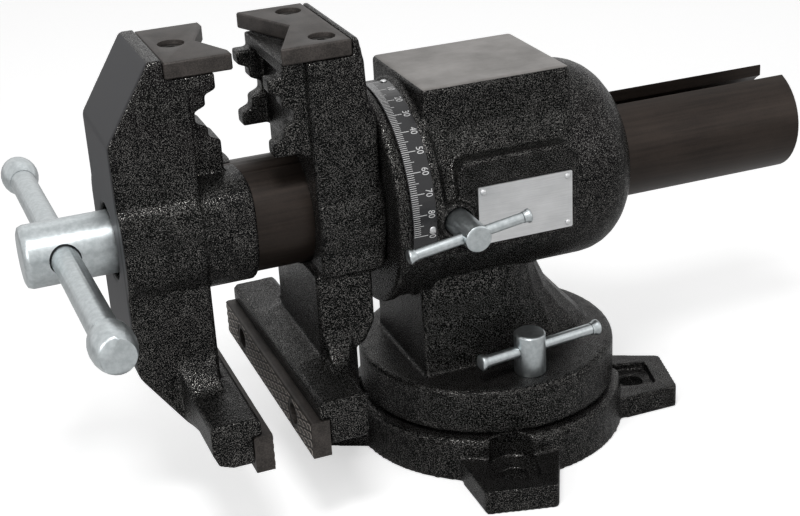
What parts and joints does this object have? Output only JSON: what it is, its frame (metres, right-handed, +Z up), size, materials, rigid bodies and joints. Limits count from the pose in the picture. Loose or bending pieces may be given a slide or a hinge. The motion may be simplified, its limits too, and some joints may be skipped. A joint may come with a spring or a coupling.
{
  "type": "swivel bench vise",
  "caption": "Multi-purpose bench vise with a swivel base, a rotating head, stepped pipe jaws, flat jaws, a slotted slide tube, an anvil block and tee-handled locks.",
  "frame": {"origin": "centre of the base's underside, on the swivel axis", "axes": "+X along the barrel away from the jaws, +Z up, +Y to the side without the locks"},
  "size_m": [0.4111, 0.2868, 0.2345],
  "materials": {
    "hammered_enamel": "black hammertone enamel on grey iron",
    "black_oxide": "brown-black oxide, lightly oiled",
    "phosphate": "dark phosphate on hardened steel",
    "zinc": "bright zinc plating",
    "aluminium": "bare satin aluminium",
    "black_band": "black printed strip",
    "bronze": "machined bronze",
    "steel": "machined steel"
  },
  "bodies": {
    "base": {"swivel_base": "hammered_enamel", "pivot_washer": "zinc", "pivot_bolt": "zinc"},
    "turret": {"turret_body": "hammered_enamel", "nameplate": "aluminium", "plate_rivet_0": "aluminium", "plate_rivet_1": "aluminium", "plate_rivet_2": "aluminium", "plate_rivet_3": "aluminium", "scale_band": "black_band", "band_rivet_0": "aluminium", "band_rivet_1": "aluminium", "swivel_tee_nut": "steel"},
    "head_lock": {"head_lock_screw": "zinc", "head_lock_pad": "bronze"},
    "head_lock_handle": {"head_lock_bar": "zinc", "head_lock_bar_cap_a": "zinc", "head_lock_bar_cap_b": "zinc"},
    "swivel_lock": {"swivel_lock_screw": "zinc"},
    "swivel_lock_handle": {"swivel_lock_bar": "zinc", "swivel_lock_bar_cap_a": "zinc", "swivel_lock_bar_cap_b": "zinc"},
    "head": {"rotating_head": "hammered_enamel", "rear_pipe_cap": "phosphate", "rear_pipe_cap_screw_0": "black_oxide", "rear_pipe_cap_screw_1": "black_oxide", "rear_jaw_plate": "phosphate", "rear_jaw_plate_screw_0": "black_oxide", "rear_jaw_plate_screw_1": "black_oxide", "spindle_nut": "bronze", "nut_screw_0": "black_oxide", "nut_screw_1": "black_oxide"},
    "moving_jaw": {"moving_jaw": "hammered_enamel", "slide_tube": "black_oxide", "tube_grub_screw_0": "black_oxide", "tube_grub_screw_1": "black_oxide", "moving_pipe_cap": "phosphate", "moving_pipe_cap_screw_0": "black_oxide", "moving_jaw_plate": "phosphate", "moving_jaw_plate_screw_0": "black_oxide", "moving_jaw_plate_screw_1": "black_oxide", "thrust_washer": "steel"},
    "spindle": {"spindle": "zinc", "spindle_collar": "steel", "collar_pin": "steel"},
    "handle": {"handle_bar": "zinc", "handle_knob_far": "zinc", "handle_knob_near": "zinc"}
  },
  "joints": [
    {"name": "base_swivel", "type": "hinge", "parent": "base", "child": "turret", "pos_m": [0, 0, 0], "axis": [0, 0, 1], "continuous": true},
    {"name": "head_rotation", "type": "hinge", "parent": "turret", "child": "head", "pos_m": [0, 0, 0.1421], "axis": [1, 0, 0], "continuous": true},
    {"name": "jaw_slide", "type": "slide", "parent": "head", "child": "moving_jaw", "axis": [-1, 0, 0], "range_m": [-0.0178, 0.132]},
    {"name": "spindle_turn", "type": "hinge", "parent": "moving_jaw", "child": "spindle", "pos_m": [-0.2356, 0, 0.1421], "axis": [-1, 0, 0], "range_deg": [-1280, 9500]},
    {"name": "handle_slide", "type": "slide", "parent": "spindle", "child": "handle", "axis": [0, 0.998, -0.0624], "range_m": [-0.106, 0.096]},
    {"name": "head_lock_turn", "type": "hinge", "parent": "turret", "child": "head_lock", "pos_m": [-0.0369, -0.0752, 0.1421], "axis": [0, -1, 0], "range_deg": [0, 180]},
    {"name": "head_lock_bar_slide", "type": "slide", "parent": "head_lock", "child": "head_lock_handle", "axis": [0.9898, 0, 0.1426], "range_m": [0, 0.0225]},
    {"name": "swivel_lock_turn", "type": "hinge", "parent": "turret", "child": "swivel_lock", "pos_m": [0.002, -0.05196, 0.0623], "axis": [0, 0, 1], "range_deg": [-25, 20]},
    {"name": "swivel_lock_bar_slide", "type": "slide", "parent": "swivel_lock", "child": "swivel_lock_handle", "axis": [-0.9917, -0.1288, 0], "range_m": [-0.016, 0.0288]}
  ],
  "couplings": [
    {"joint": "jaw_slide", "follows": "spindle_turn", "m_per_rad": 0.00079577}
  ]
}
